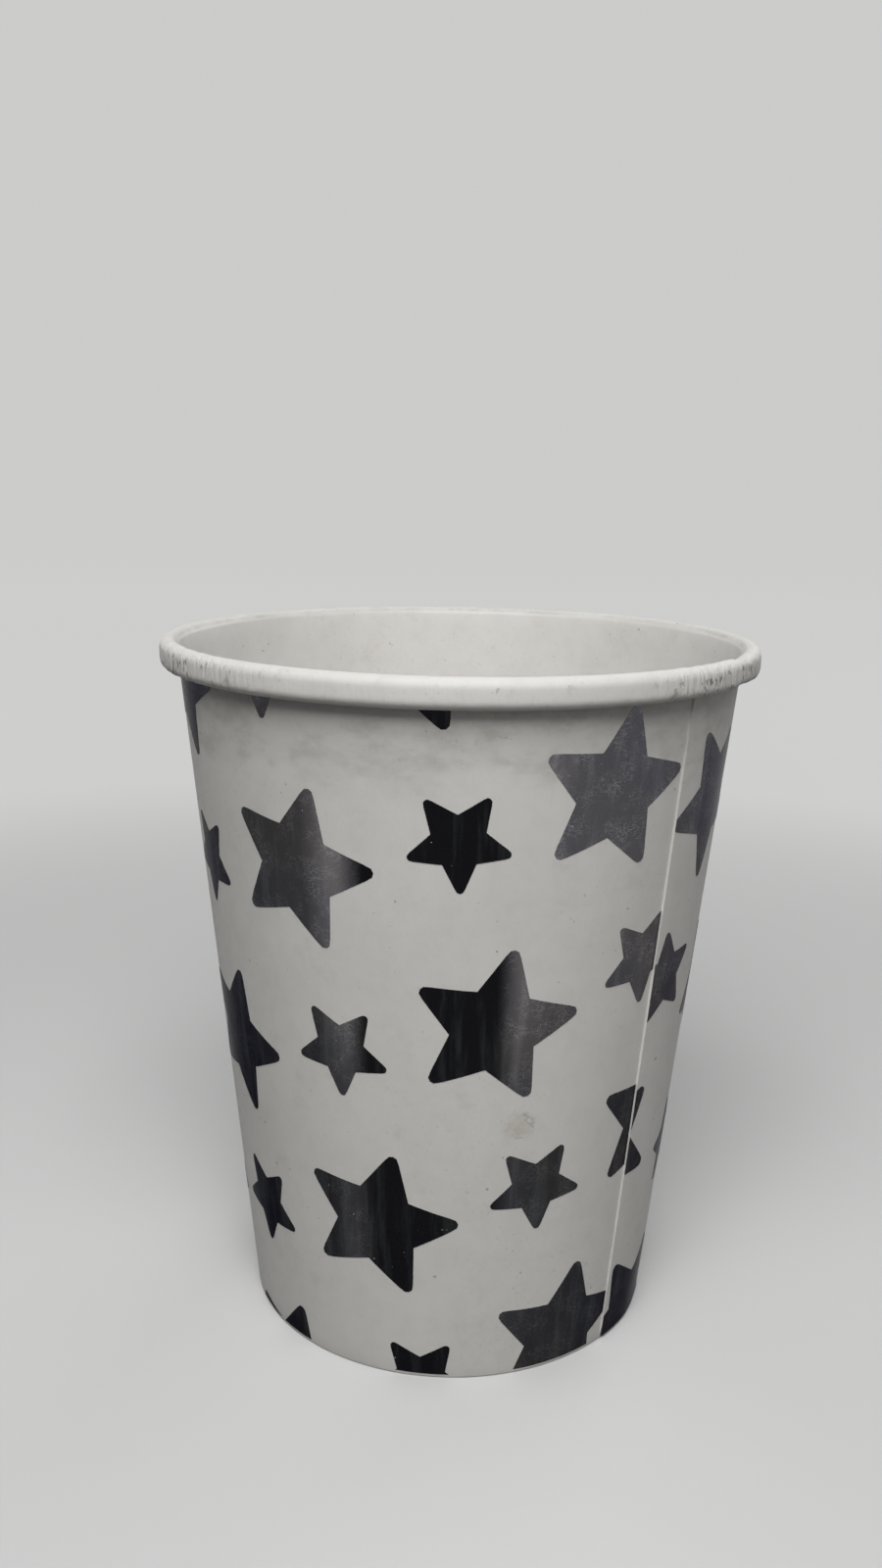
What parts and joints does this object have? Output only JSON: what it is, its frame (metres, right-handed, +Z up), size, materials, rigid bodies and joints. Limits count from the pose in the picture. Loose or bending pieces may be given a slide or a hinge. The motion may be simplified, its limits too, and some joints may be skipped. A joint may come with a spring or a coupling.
{
  "type": "paper cup",
  "caption": "Tapered white paper party cup with a rolled rim, a glued side seam, a raised bottom and dark foil stars.",
  "frame": {"origin": "middle of the foot, on the surface that the cup stands on", "axes": "+Z up along the cup's axis, -Y to the front"},
  "size_m": [0.078, 0.078, 0.0918],
  "materials": {
    "board": "satin white paper board",
    "bottom_board": "white coated paper board",
    "foil": "hot-stamped dark foil"
  },
  "bodies": {
    "root": {"side_wall": "board", "bottom_disc": "bottom_board", "foil_stars": "foil"}
  },
  "joints": []
}
